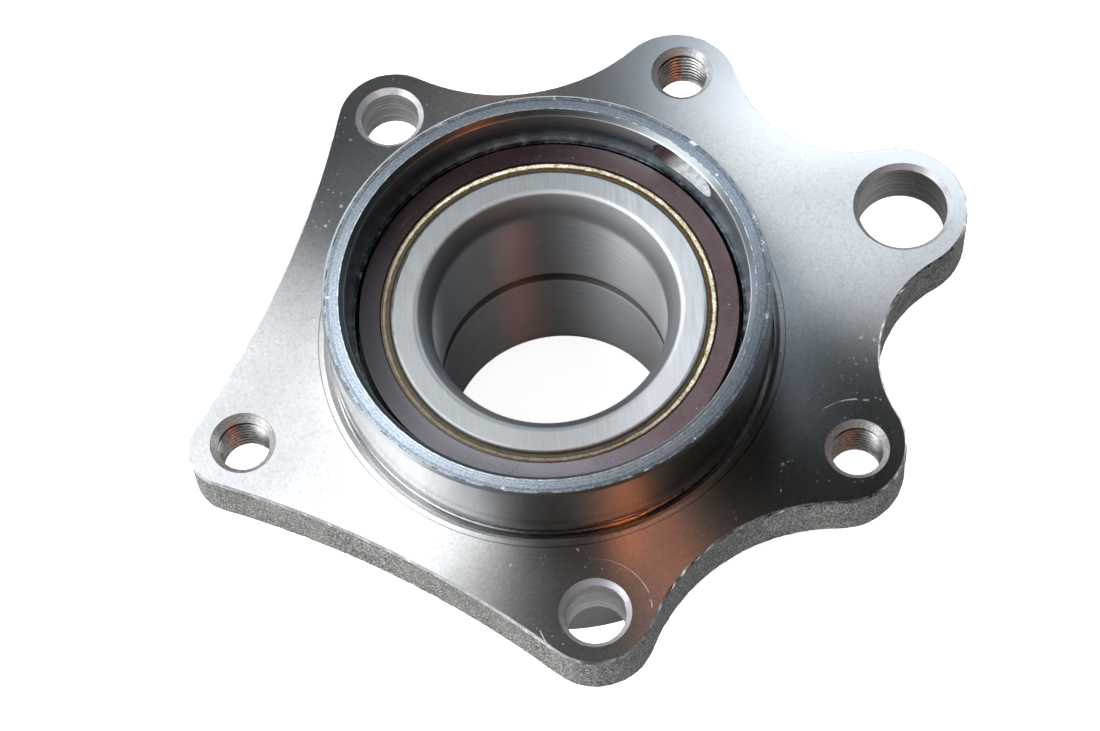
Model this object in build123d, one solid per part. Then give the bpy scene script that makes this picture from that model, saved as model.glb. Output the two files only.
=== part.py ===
from build123d import *
import os
from math import cos, pi, radians, sin, sqrt

# A flanged wheel hub bearing: a double-row angular contact ball bearing whose outer ring
# carries its own mounting flange. The outer ring stands still and the two inner rings turn.
# Origin: on the bore axis, level with the flange's machined mounting face.
# +Z runs towards the centring collar, +X towards the ear with the large plain hole.

# Millimetres and degrees throughout.

# Inner rings
bore_d = 49.0
inner_face_z = 10.9            # collar-side face of the inner rings, above the mounting face
inner_wall = 4.22              # from the bore to the bottom of the raceway
shoulder_height = 4.18         # ground shoulder that carries the seal, above the raceway bottom
inner_land_height = 1.08       # low land beside the joint between the two rings
joint_chamfer = 1.7            # bore-side chamfer where the two rings meet
land_chamfer = 0.6
shoulder_round = 0.8
nose_width = 3.8               # bell-shaped lead-in from the end face into the bore
nose_length = 5.4
seal_room = 10.45              # length of each ring between its cage and its end face

# Ball rows
ball_d = 12.7
ball_spacing_gap = 2.0         # least room between neighbouring balls along the pitch circle
row_offset = 13.4              # from the joint plane to the centre of each ball row
contact_angle = 36.0
groove_conformity = 0.52       # raceway radius as a share of the ball diameter
race_gap = 0.1                 # running gap between a ball and each raceway

# Cages
cage_inner_gap = 0.3           # cage clear of the inner rings' shoulder
cage_outer_gap = 0.6           # cage clear of the outer ring's centre shoulder
cage_back = 1.8                # solid ring behind the pockets
cage_reach = 3.6               # how far the snap-in fingers pass the ball centres
pocket_gap = 0.2
finger_slot_width = 1.0
finger_slot_depth = 2.2

# Outer ring body
outer_wall = 3.92              # from the raceway's deepest circle to the outside of the barrel
centre_shoulder = 3.88         # height of the shoulder between the two outer raceways
outer_lip = 0.78               # height of the lip on the seal's side of each raceway
ledge_width = 0.8              # step from the open recess down to the seal seat
ledge_drop = 0.9               # ledge below the inner rings' face
recess_depth = 9.45            # from the ledge up to the collar's rim
collar_wall = 4.6
rim_edge_outer = 0.55
rim_edge_inner = 1.1
barrel_overhang = 1.1          # barrel's end beyond the inner rings' far face
barrel_edge = 1.2
seat_lead_in = 0.8

# Corner relief between the collar and the mounting face
relief_height = 1.5
relief_depth = 0.9
relief_floor = 0.8
relief_round = 0.4
relief_floor_width = 0.6
relief_slope_width = 1.0

# Flange
flange_thickness = 13.5
flange_root_radius = 3.0
flange_root_margin = 1.5       # flat left round the root radius before the ears' plate begins
flange_edge = 0.5              # broken edge round both faces of the flange

# Ears: how far each hole lies from the axis and in which direction, its diameter, its
# countersink, and the ear's round end with how far its centre is set back towards the axis
large_hole_offset = 80.0
large_hole_d = 19.0
large_hole_sink = 1.1
large_ear_radius = 15.2
large_ear_setback = 1.5

side_thread_offset = 68.9
side_thread_angle = 44.9
side_thread_sink = 0.7
side_ear_radius = 13.8
side_ear_setback = 3.8

plain_hole_offset = 64.0
plain_hole_angle = 102.7
plain_hole_d = 12.5
plain_hole_sink = 1.2
plain_ear_radius = 12.4
plain_ear_setback = 1.3

rear_thread_offset = 68.4
rear_thread_sink = 0.9
rear_ear_radius = 8.8
rear_ear_advance = 2.9         # this ear's round end lies outside its hole

thread_d = 12.0

# Concave sides between neighbouring ears
front_side_radius = 26.2
cheek_side_radius = 40.5
long_side_radius = 227.0

# Sensor window through the collar wall, facing the encoder
window_angle = 26.0
window_width = 16.4
window_height = 7.4
window_floor = 0.9             # from the ledge up to the window

# Seals: a slinger on each inner ring, a pressed case in the outer ring, a rubber lip on the case
sheet = 0.6
seal_sink = 0.5                # slinger top below the inner ring's face
slinger_sleeve = 7.0
slinger_fold_width = 1.5       # bright folded edge seen inside the encoder
slinger_step = 0.7             # how far the flange drops beyond the fold to seat the encoder
slinger_rim_gap = 1.4          # from the slinger's rim out to the case
encoder_overhang = 0.4         # rubber wrapped over the slinger's rim
encoder_thickness = 0.9
encoder_inner_gap = 0.1
case_sink = 0.4                # case edge below the ledge
case_depth = 6.5
case_gap = 2.1                 # from the slinger's sleeve out to the case's inner edge
axial_lip_offset = 1.9         # lip towards the slinger's flange, from the case's inner edge
lip_gap = 0.1                  # rubber runs this close to the slinger
lip_body = 0.6
lip_edge = 0.5                 # thickness of a lip at its running edge

# Worked-out radii, from the bore outwards
bore_r = bore_d / 2
ball_r = ball_d / 2
groove_r = groove_conformity * ball_d
groove_shift = groove_r - ball_r - race_gap
inner_groove_r = bore_r + inner_wall
shoulder_r = inner_groove_r + shoulder_height
inner_land_r = inner_groove_r + inner_land_height
pitch_r = inner_groove_r + groove_r - groove_shift * cos(radians(contact_angle))
outer_groove_r = pitch_r + groove_r - groove_shift * cos(radians(contact_angle))
centre_land_r = outer_groove_r - centre_shoulder
seal_bore_r = outer_groove_r - outer_lip
barrel_r = outer_groove_r + outer_wall
recess_r = seal_bore_r + ledge_width
collar_r = recess_r + collar_wall
relief_floor_r = collar_r + relief_floor_width
relief_rim_r = relief_floor_r + relief_slope_width
core_r = max(relief_rim_r, barrel_r + flange_root_radius) + flange_root_margin
sleeve_r = shoulder_r + sheet
fold_r = sleeve_r + slinger_fold_width
slinger_rim_r = seal_bore_r - sheet - slinger_rim_gap
encoder_r = slinger_rim_r + encoder_overhang
case_inner_r = sleeve_r + case_gap
thread_r = thread_d / 2

# Worked-out heights: those of the rows, cages and seals are counted from the joint plane
ball_count = int(2 * pi * pitch_r / (ball_d + ball_spacing_gap))
cage_top = row_offset + ball_r + pocket_gap + cage_back
inner_ring_width = cage_top + seal_room
slinger_top = inner_ring_width - seal_sink
case_top = inner_ring_width - ledge_drop - case_sink
joint_z = inner_face_z - inner_ring_width
ledge_z = inner_face_z - ledge_drop
collar_top_z = ledge_z + recess_depth
barrel_end_z = joint_z - inner_ring_width - barrel_overhang


def turned(section):
    """Solid of revolution about the bore axis from a flat section, x = radius and y = height."""
    return revolve(Plane.XZ * section, Axis.Z)


def outline(*corners):
    """Closed outline through (radius, height) corners; a third value rounds that corner."""
    face = make_face(Polyline(*[corner[:2] for corner in corners], close=True))
    for corner in corners:
        if len(corner) == 3:
            vertex = face.vertices().sort_by_distance((corner[0], corner[1], 0))[0]
            face = fillet(vertex, corner[2])
    return face


def raceway(row_height, side, outer):
    """Disc that cuts one raceway: it clears the ball by race_gap along the contact line."""
    shift = -groove_shift if outer else groove_shift
    centre_r = pitch_r + shift * cos(radians(contact_angle))
    centre_z = row_height - side * shift * sin(radians(contact_angle))
    return Pos(centre_r, centre_z) * Circle(groove_r)


def inner_ring():
    """One inner ring, standing on the joint plane with its shouldered end upwards."""
    top = inner_ring_width
    section = outline(
        (bore_r + joint_chamfer, 0),
        (inner_land_r - land_chamfer, 0),
        (inner_land_r, land_chamfer),
        (inner_land_r, row_offset),
        (shoulder_r, row_offset),
        (shoulder_r, top, shoulder_round),
        (bore_r, top),
        (bore_r, joint_chamfer),
    )
    nose = Pos(bore_r + nose_width, top - nose_length) * Ellipse(nose_width, nose_length)
    corner = Pos(bore_r + nose_width / 2, top - nose_length / 2) * Rectangle(nose_width, nose_length)
    return turned(section - (corner - nose) - raceway(row_offset, 1, outer=False))


def ball(index):
    """One ball of a row, at its own pocket."""
    turn = 360 / ball_count * index
    return Rot(0, 0, turn) * Pos(pitch_r, 0, row_offset) * Sphere(ball_r)


def cage():
    """Snap-in ball cage: a ring with open spherical pockets and slotted fingers."""
    inner_r = shoulder_r + cage_inner_gap
    outer_r = centre_land_r - cage_outer_gap
    low = row_offset - cage_reach
    ring = turned(outline((inner_r, low), (outer_r, low), (outer_r, cage_top), (inner_r, cage_top)))
    pocket = Pos(pitch_r, 0, row_offset) * Sphere(ball_r + pocket_gap)
    slot = Pos(pitch_r, 0, low + finger_slot_depth / 2) * Box(
        2 * (outer_r - inner_r), finger_slot_width, finger_slot_depth
    )
    pitch_angle = 360 / ball_count
    pockets = [Rot(0, 0, pitch_angle * index) * pocket for index in range(ball_count)]
    slots = [Rot(0, 0, pitch_angle * (index + 0.5)) * slot for index in range(ball_count)]
    return ring - pockets - slots


def slinger(stepped):
    """Sheet ring pressed on an inner ring's shoulder, with a flange that covers the seal."""
    flange_top = slinger_top - slinger_step if stepped else slinger_top
    corners = [
        (shoulder_r, slinger_top - slinger_sleeve),
        (sleeve_r, slinger_top - slinger_sleeve),
        (sleeve_r, flange_top - sheet),
        (slinger_rim_r, flange_top - sheet),
        (slinger_rim_r, flange_top),
    ]
    if stepped:
        corners += [(fold_r, flange_top), (fold_r, slinger_top, sheet / 2)]
    corners += [(shoulder_r, slinger_top, sheet / 2)]
    return turned(outline(*corners))


def encoder():
    """Magnetised rubber ring bonded on the slinger's stepped flange and over its edge."""
    seat = slinger_top - slinger_step
    inner_r = fold_r + encoder_inner_gap
    return turned(
        outline(
            (inner_r, seat),
            (slinger_rim_r, seat),
            (slinger_rim_r, seat - sheet),
            (encoder_r, seat - sheet),
            (encoder_r, seat + encoder_thickness),
            (inner_r, seat + encoder_thickness),
        )
    )


def seal_case():
    """Pressed sheet ring that sits in the outer ring and carries the rubber lip."""
    floor = case_top - case_depth
    return turned(
        outline(
            (case_inner_r, floor),
            (seal_bore_r, floor, sheet),
            (seal_bore_r, case_top),
            (seal_bore_r - sheet, case_top),
            (seal_bore_r - sheet, floor + sheet),
            (case_inner_r, floor + sheet),
        )
    )


def seal_lip(stepped):
    """Rubber bonded to the case: one lip towards the slinger's flange, two towards its sleeve."""
    floor = case_top - case_depth
    seat = floor + sheet
    base = seat + lip_body
    flange_top = slinger_top - slinger_step if stepped else slinger_top
    flange_tip = flange_top - sheet - lip_gap
    sleeve_tip = sleeve_r + lip_gap
    root_r = case_inner_r + axial_lip_offset
    upper_tip = base + 2 * lip_body
    lower_tip = floor - lip_body
    return turned(
        outline(
            (case_inner_r, floor),
            (case_inner_r, seat),
            (seal_bore_r - 2 * sheet, seat),
            (seal_bore_r - 2 * sheet, base),
            (root_r + lip_edge, base),
            (root_r + 2 * lip_edge, flange_tip),
            (root_r + lip_edge, flange_tip),
            (root_r - lip_edge, base),
            (case_inner_r, base),
            (sleeve_tip, upper_tip),
            (sleeve_tip, upper_tip - lip_edge),
            (case_inner_r - 2 * lip_edge, seat),
            (sleeve_tip, lower_tip),
            (sleeve_tip, lower_tip - lip_edge),
        )
    )


def polar(reach, angle):
    """Point in the flange plane at a distance and direction from the bore axis."""
    return Vector(reach * cos(radians(angle)), reach * sin(radians(angle)))


def side_centre(first, first_r, second, second_r, side_r):
    """Centre of the concave side that runs tangent to two ears, outside the flange."""
    span = second - first
    a = first_r + side_r
    b = second_r + side_r
    along = (a * a - b * b + span.length**2) / (2 * span.length)
    across = sqrt(a * a - along * along)
    direction = span.normalized()
    outward = Vector(direction.Y, -direction.X)
    return first + direction * along + outward * across


def touch(centre, centre_r, other):
    """Point on a circle that faces another circle's centre."""
    return centre + (other - centre).normalized() * centre_r


def flange_outline():
    """The flange's outline: six round ears joined by concave sides, symmetric about X."""
    ears = [
        (polar(large_hole_offset - large_ear_setback, 0), large_ear_radius),
        (polar(side_thread_offset - side_ear_setback, side_thread_angle), side_ear_radius),
        (polar(plain_hole_offset - plain_ear_setback, plain_hole_angle), plain_ear_radius),
        (polar(rear_thread_offset + rear_ear_advance, 180), rear_ear_radius),
    ]
    sides = [front_side_radius, cheek_side_radius, long_side_radius]
    start = ears[0][0] + Vector(ears[0][1], 0)
    edges = []
    for (near, near_r), (far, far_r), side_r in zip(ears, ears[1:], sides):
        hollow = side_centre(near, near_r, far, far_r, side_r)
        leave = touch(near, near_r, hollow)
        join = touch(far, far_r, hollow)
        lobe_mid = touch(near, near_r, near + (start - near) + (leave - near))
        side_mid = touch(hollow, side_r, (leave + join) / 2)
        edges += [ThreePointArc(start, lobe_mid, leave), ThreePointArc(leave, side_mid, join)]
        start = join
    last, last_r = ears[-1]
    end = last - Vector(last_r, 0)
    last_mid = touch(last, last_r, last + (start - last) + (end - last))
    edges.append(ThreePointArc(start, last_mid, end))
    half = Curve() + edges
    return make_face(half + mirror(half, Plane.XZ))


def drilled(centre, radius, sink):
    """Cutter for a through hole in the flange with a countersink at each face."""
    section = outline(
        (0, sink),
        (radius + 2 * sink, sink),
        (radius, -sink),
        (radius, sink - flange_thickness),
        (radius + 2 * sink, -sink - flange_thickness),
        (0, -sink - flange_thickness),
    )
    return Pos(centre.X, centre.Y, 0) * turned(section)


def flange_holes():
    """The six flange holes: one large, three threaded (left plain) and two plain."""
    holes = [
        drilled(polar(large_hole_offset, 0), large_hole_d / 2, large_hole_sink),
        drilled(polar(rear_thread_offset, 180), thread_r, rear_thread_sink),
    ]
    for side in (1, -1):
        threaded = polar(side_thread_offset, side * side_thread_angle)
        plain = polar(plain_hole_offset, side * plain_hole_angle)
        holes.append(drilled(threaded, thread_r, side_thread_sink))
        holes.append(drilled(plain, plain_hole_d / 2, plain_hole_sink))
    return holes


def outer_ring_section():
    """Half section of the outer ring's turned body with both raceways."""
    relief_r = collar_r - relief_depth
    section = outline(
        (recess_r, collar_top_z - rim_edge_inner),
        (recess_r + rim_edge_inner, collar_top_z),
        (collar_r - rim_edge_outer, collar_top_z),
        (collar_r, collar_top_z - rim_edge_outer),
        (collar_r, relief_height + relief_depth),
        (relief_r, relief_height),
        (relief_r, -relief_floor, relief_round),
        (relief_floor_r, -relief_floor, relief_round),
        (relief_rim_r, 0),
        (core_r, 0),
        (core_r, -flange_thickness),
        (barrel_r, -flange_thickness, flange_root_radius),
        (barrel_r, barrel_end_z + barrel_edge),
        (barrel_r - barrel_edge, barrel_end_z),
        (seal_bore_r + seat_lead_in, barrel_end_z),
        (seal_bore_r, barrel_end_z + seat_lead_in),
        (seal_bore_r, joint_z - row_offset),
        (centre_land_r, joint_z - row_offset),
        (centre_land_r, joint_z + row_offset),
        (seal_bore_r, joint_z + row_offset),
        (seal_bore_r, ledge_z),
        (recess_r, ledge_z),
    )
    for side in (1, -1):
        section -= raceway(joint_z + side * row_offset, side, outer=True)
    return section


def flange_plate():
    """The flange outside the turned body, with broken edges on both faces."""
    plate = extrude(flange_outline(), -flange_thickness)
    rims = plate.faces().sort_by(Axis.Z)[0].edges() + plate.faces().sort_by(Axis.Z)[-1].edges()
    plate = chamfer(rims, flange_edge)
    core = Pos(0, 0, -flange_thickness / 2) * Cylinder(core_r, 2 * flange_thickness)
    return plate - core


def sensor_window():
    """Cutter for the oblong window through the collar wall, facing the encoder."""
    turn = radians(window_angle)
    outward = Vector(cos(turn), sin(turn), 0)
    height = ledge_z + window_floor + window_height / 2
    start = seal_bore_r - window_height / 2
    wall_plane = Plane(
        origin=outward * start + Vector(0, 0, height),
        x_dir=(-sin(turn), cos(turn), 0),
        z_dir=outward,
    )
    return extrude(wall_plane * SlotOverall(window_width, window_height), core_r - start)


def outer_ring():
    """The stationary ring: collar, flange and barrel in one forging."""
    body = turned(outer_ring_section()) + flange_plate()
    return body - flange_holes() - sensor_window()


def inboard(shape):
    """Places a shape built on the joint plane at the collar end."""
    return Pos(0, 0, joint_z) * shape


def outboard(shape):
    """Places a shape built on the joint plane at the far end, turned end for end."""
    return Pos(0, 0, joint_z) * Rot(180, 0, 0) * shape


def pieces():
    """Every piece of the bearing by name, in its place."""
    built = {
        "flanged_outer_ring": outer_ring(),
        "inner_ring_inboard": inboard(inner_ring()),
        "inner_ring_outboard": outboard(inner_ring()),
        "cage_inboard": inboard(cage()),
        "cage_outboard": outboard(cage()),
        "slinger_inboard": inboard(slinger(stepped=True)),
        "slinger_outboard": outboard(slinger(stepped=False)),
        "encoder_ring": inboard(encoder()),
        "seal_case_inboard": inboard(seal_case()),
        "seal_case_outboard": outboard(seal_case()),
        "seal_lip_inboard": inboard(seal_lip(stepped=True)),
        "seal_lip_outboard": outboard(seal_lip(stepped=False)),
    }
    for index in range(ball_count):
        built[f"ball_inboard_{index + 1:02d}"] = inboard(ball(index))
        built[f"ball_outboard_{index + 1:02d}"] = outboard(ball(index))
    return built


os.makedirs("parts", exist_ok=True)
for name, shape in pieces().items():
    export_step(shape, f"parts/{name}.step")
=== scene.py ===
import math

import bmesh
import bpy
from mathutils import Matrix, Vector, noise

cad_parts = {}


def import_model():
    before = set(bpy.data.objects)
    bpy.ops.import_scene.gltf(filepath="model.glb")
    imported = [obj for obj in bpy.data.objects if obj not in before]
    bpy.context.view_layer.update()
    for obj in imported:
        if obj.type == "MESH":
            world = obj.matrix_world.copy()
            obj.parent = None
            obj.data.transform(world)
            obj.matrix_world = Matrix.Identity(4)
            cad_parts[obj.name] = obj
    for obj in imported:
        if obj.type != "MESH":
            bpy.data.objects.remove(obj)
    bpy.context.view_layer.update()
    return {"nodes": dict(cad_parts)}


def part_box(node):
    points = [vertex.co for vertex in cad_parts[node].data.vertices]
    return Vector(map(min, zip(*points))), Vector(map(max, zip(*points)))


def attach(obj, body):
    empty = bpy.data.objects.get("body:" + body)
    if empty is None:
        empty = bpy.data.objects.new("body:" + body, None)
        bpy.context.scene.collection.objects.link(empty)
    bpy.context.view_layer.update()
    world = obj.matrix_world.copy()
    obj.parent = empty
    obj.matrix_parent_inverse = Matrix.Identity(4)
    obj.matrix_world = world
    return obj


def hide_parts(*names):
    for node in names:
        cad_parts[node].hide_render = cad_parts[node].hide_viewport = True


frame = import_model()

# A wheel hub bearing: finishes, threads and forging texture over the construction model.
# Metres throughout. The bore axis is Z and the flange's machined face is at height 0.

MM = 0.001
NODES = frame["nodes"]

# Sizes that the finishes follow, as the construction has them
RIM_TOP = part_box("flanged_outer_ring")[1].z
BARREL_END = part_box("flanged_outer_ring")[0].z
FLANGE_BOTTOM = -13.5 * MM
COLLAR_R = 46.3 * MM
RECESS_R = 41.7 * MM
RIM_INNER_R = 42.8 * MM
RIM_OUTER_R = 45.75 * MM
RIM_CHAMFERS = 1.2 * MM
WINDOW_BOTTOM = 10.5 * MM
WINDOW_DEGREES = 26.0
FLANGE_CORE_R = 50.1 * MM
RELIEF_R = 48.0 * MM
RELIEF_BOTTOM = -1.0 * MM
DARK_RING_R = 49.0 * MM
SEAT_BOTTOM = 4.0 * MM
SEAT_TOP = 9.9 * MM
FACE_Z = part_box("inner_ring_inboard")[1].z
JOINT_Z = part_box("inner_ring_inboard")[0].z
JOINT_CHAMFER = 1.7 * MM
NOSE_LENGTH = 5.4 * MM
FOLD_CREST_R = 34.2 * MM
THREAD_R = 6.0 * MM
THREAD_PITCH = 1.25 * MM
THREAD_LEAD = -0.25 * MM
DRILL_PITCH = 1.1 * MM
DRILL_LEAD = 0.44 * MM

# The vertical share of a face's normal that tells level, gentle, steep and upright faces apart
LEVEL = 0.95
GENTLE = 0.9
STEEP = 0.5
UPRIGHT = 0.3

# A face in the collar that points outward by less than this share is a wall of the window
WINDOW_OUTWARD = 0.7

# How far round their own measures the outer ring's holes and walls are looked for
HOLE_MARGIN = 0.02 * MM
FACE_MARGIN = 0.1 * MM
WALL_MARGIN = 1.0 * MM
COLLAR_MARGIN = 1.5 * MM
SEAT_MARGIN = 3.0 * MM

# How finely the forged sides and the cuts are divided, and the angles from which their edges are
# sharp
FORGED_EDGE = 0.9 * MM
STEPS_PER_TURN = 64
MOUTH_STEPS = 96
SHARP_FORGING = math.radians(36)
SHARP_CUT = math.radians(35)
MOST_CUTS = 8
WELD = 0.001 * MM

# How much the forged sides and their worn edge vary, how finely per metre, and how far inward
# all of it is moved
LUMP_HEIGHT = 0.16 * MM
LUMP_SCALE = 260
GRAIN_HEIGHT = 0.06 * MM
GRAIN_SCALE = 1100
FORGED_SUNK = 0.1 * MM
WEAR_HEIGHT = 0.12 * MM
WEAR_SCALE = 700
WEAR_SUNK = 0.06 * MM

# Sockets of the mix node that have no name of their own
COLOR_A, COLOR_B, COLOR_OUT = 6, 7, 2
VECTOR_A, VECTOR_B, VECTOR_OUT = 4, 5, 1
WHITE = (1, 1, 1)


def polar(reach, degrees):
    """Point in the flange plane at a distance and direction from the bore axis."""
    angle = math.radians(degrees)
    return Vector((reach * math.cos(angle), reach * math.sin(angle), 0))


# Each hole: its place, wall radius and countersink
THREADED = {
    "thread_left": (polar(68.9 * MM, 44.9), THREAD_R, 0.7 * MM),
    "thread_right": (polar(68.9 * MM, -44.9), THREAD_R, 0.7 * MM),
    "thread_rear": (polar(68.4 * MM, 180), THREAD_R, 0.9 * MM),
}
PLAIN = {
    "plain_left": (polar(64.0 * MM, 102.7), 6.25 * MM, 1.2 * MM),
    "plain_right": (polar(64.0 * MM, -102.7), 6.25 * MM, 1.2 * MM),
    "large": (polar(80.0 * MM, 0), 9.5 * MM, 1.1 * MM),
}
HOLES = list(THREADED.values()) + list(PLAIN.values())

# Outlines of one turn: mm past the hole's wall, minus toward its axis, and rise in turns.
# The root comes first and last. A ridge grows from its least share at both ends, by so much a turn.
THREAD_RIDGE = [(0.05, 0.49), (-0.38, 0.242), (-0.58, 0.127), (-0.66, 0.04),
                (-0.66, -0.04), (-0.58, -0.127), (0.05, -0.49)]
DRILL_RIDGE = [(0.03, 0.38), (-0.05, 0.3), (-0.09, 0.1),
               (-0.09, -0.12), (-0.05, -0.34), (0.03, -0.42)]
RUN_OUT = 1.5
LEAST_RIDGE = 0.02

# The cone at a tapped hole's mouth: how far it is buried in the wall, how far in it reaches,
# how thick its inner edge is, and where its back meets the wall again
MOUTH_BURIED = 0.03 * MM
MOUTH_REACH = 0.62 * MM
MOUTH_EDGE = 0.1 * MM
MOUTH_BACK = 1.2 * MM

# Directions from the bore axis that painted light and painted shade grow toward
HIGHLIGHTED_EAR = polar(1, 48)
SHADED_EAR = polar(1, 112)
SHADED_RIM_SIDE = polar(1, 10)
SHADED_RUBBER_SIDE = polar(1, 128)
SHEEN_ON_RUBBER = polar(1, 210)

# Rings that washers rubbed round holes: centre, radius, and how much of the ring is left bare
WASHER_RUBS = [
    (polar(64.0 * MM, -102.7), 11.6 * MM, 0.5),
    (polar(68.9 * MM, -44.9), 11.2 * MM, 0.54),
    (polar(68.4 * MM, 180), 10.6 * MM, 0.6),
]


class Finish:
    """One procedural material, built node by node on the piece's own coordinates."""

    def __init__(self, name, color, roughness, metallic=1.0):
        self.material = bpy.data.materials.new(name)
        self.material.use_nodes = True
        self.tree = self.material.node_tree
        self.shader = self.tree.nodes["Principled BSDF"]
        self.feed(self.shader.inputs["Base Color"], color)
        self.shader.inputs["Roughness"].default_value = roughness
        self.shader.inputs["Metallic"].default_value = metallic
        self.place = self.add("ShaderNodeTexCoord").outputs["Object"]

    def add(self, kind, **settings):
        """A new node with its settings; inputs are wired or set by feed."""
        node = self.tree.nodes.new(kind)
        for key, value in settings.items():
            setattr(node, key, value)
        return node

    def feed(self, socket, value):
        """Wires an output into a socket, or sets the socket's number, vector or colour."""
        if isinstance(value, bpy.types.NodeSocket):
            self.tree.links.new(value, socket)
        elif socket.type == "RGBA":
            socket.default_value = (*value, 1)
        else:
            socket.default_value = value

    def math(self, operation, *values):
        node = self.add("ShaderNodeMath", operation=operation)
        for socket, value in zip(node.inputs, values):
            self.feed(socket, value)
        return node.outputs[0]

    def plus(self, first, second):
        return self.math("ADD", first, second)

    def minus(self, first, second):
        return self.math("SUBTRACT", first, second)

    def times(self, first, second):
        return self.math("MULTIPLY", first, second)

    def larger(self, first, second):
        return self.math("MAXIMUM", first, second)

    def gap(self, first, second):
        """How far two values are apart."""
        return self.math("ABSOLUTE", self.minus(first, second))

    def vector(self, operation, *values):
        node = self.add("ShaderNodeVectorMath", operation=operation)
        for socket, value in zip(node.inputs, values):
            self.feed(socket, value)
        single = operation in ("LENGTH", "DISTANCE", "DOT_PRODUCT")
        return node.outputs["Value" if single else "Vector"]

    def along(self, direction):
        """How far the place lies along a direction, from the bore axis."""
        return self.vector("DOT_PRODUCT", self.place, direction)

    def split(self):
        """The piece's x, y and z."""
        node = self.add("ShaderNodeSeparateXYZ")
        self.feed(node.inputs[0], self.place)
        return node.outputs

    def combine(self, x=0.0, y=0.0, z=0.0):
        node = self.add("ShaderNodeCombineXYZ")
        for socket, value in zip(node.inputs, (x, y, z)):
            self.feed(socket, value)
        return node.outputs[0]

    def noise(self, scale, detail=3.0, roughness=0.5, place=None):
        node = self.add("ShaderNodeTexNoise")
        self.feed(node.inputs["Vector"], self.place if place is None else place)
        node.inputs["Scale"].default_value = scale
        node.inputs["Detail"].default_value = detail
        node.inputs["Roughness"].default_value = roughness
        return node.outputs["Fac"]

    def speckle(self, scale):
        """Distance to the nearest of many scattered points."""
        node = self.add("ShaderNodeTexVoronoi")
        self.feed(node.inputs["Vector"], self.place)
        node.inputs["Scale"].default_value = scale
        return node.outputs["Distance"]

    def strokes(self, scale, share, size, degrees=0.0, length=1.0):
        """Scattered specks, or short scratches where length is well over 1."""
        lengthwise = self.math("DIVIDE", self.along(polar(1, degrees)), length)
        aside = self.along(polar(1, degrees + 90))
        place = self.combine(lengthwise, aside, self.split()[2])
        node = self.add("ShaderNodeTexVoronoi")
        self.feed(node.inputs["Vector"], place)
        node.inputs["Scale"].default_value = scale
        chance = self.add("ShaderNodeSeparateColor")
        self.feed(chance.inputs[0], node.outputs["Color"])
        chosen = self.math("GREATER_THAN", chance.outputs[0], 1 - share)
        near = self.remap(node.outputs["Distance"], size * 0.5, size, 1.0, 0.0)
        return self.times(chosen, near)

    def remap(self, value, low, high, to_low=0.0, to_high=1.0):
        """Smooth step from one range to another, held at both ends."""
        node = self.add("ShaderNodeMapRange", interpolation_type="SMOOTHSTEP")
        for socket, given in zip(node.inputs, (value, low, high, to_low, to_high)):
            self.feed(socket, given)
        return node.outputs[0]

    def toward(self, direction, start, end, at_start=0.0, at_end=1.0):
        """Changes along a direction, between two distances from the bore axis."""
        return self.remap(self.along(direction), start, end, at_start, at_end)

    def mix(self, factor, first, second):
        """The first colour where the factor is 0 and the second where it is 1."""
        node = self.add("ShaderNodeMix", data_type="RGBA")
        self.feed(node.inputs["Factor"], factor)
        self.feed(node.inputs[COLOR_A], first)
        self.feed(node.inputs[COLOR_B], second)
        return node.outputs[COLOR_OUT]

    def color(self, value):
        self.feed(self.shader.inputs["Base Color"], value)

    def roughness(self, value):
        self.feed(self.shader.inputs["Roughness"], value)

    def bump(self, height, distance):
        """Relief as high as the distance where the height is 1, over any earlier relief."""
        node = self.add("ShaderNodeBump")
        node.inputs["Strength"].default_value = 1.0
        node.inputs["Distance"].default_value = distance
        self.feed(node.inputs["Height"], height)
        normal = self.shader.inputs["Normal"]
        if normal.is_linked:
            self.feed(node.inputs["Normal"], normal.links[0].from_socket)
        self.feed(normal, node.outputs[0])

    def across_turning(self):
        """Direction across lines turned round the bore axis, along the surface."""
        around = self.add("ShaderNodeTangent", direction_type="RADIAL", axis="Z")
        normal = self.add("ShaderNodeNewGeometry").outputs["Normal"]
        return self.vector("CROSS_PRODUCT", normal, around.outputs[0])

    def stretch(self, amount, direction):
        """Draws highlights out along a direction, as fine lines across it do."""
        self.feed(self.shader.inputs["Anisotropic"], amount)
        self.feed(self.shader.inputs["Tangent"], direction)

    def radius(self):
        """Distance from the bore axis."""
        x, y, _ = self.split()
        return self.vector("LENGTH", self.combine(x, y))

    def rings(self, scale, waver=0.0):
        """Fine concentric lines that waver a little, as a tool leaves them."""
        reach = self.radius()
        if waver:
            reach = self.plus(reach, self.times(self.noise(40, 2), waver))
        return self.noise(scale, 2.0, 0.6, self.combine(reach))

    def layers(self, scale, detail=2.0):
        """Fine level lines round a turned wall."""
        return self.noise(scale, detail, 0.6, self.combine(z=self.split()[2]))

    def glow(self, color, strength=1.0):
        """A shader that gives light of its own."""
        node = self.add("ShaderNodeEmission")
        self.feed(node.inputs["Color"], color)
        self.feed(node.inputs["Strength"], strength)
        return node.outputs[0]

    def surface(self, shader):
        """Shows the given shader in place of the plain one."""
        self.feed(self.tree.nodes["Material Output"].inputs["Surface"], shader)


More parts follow.
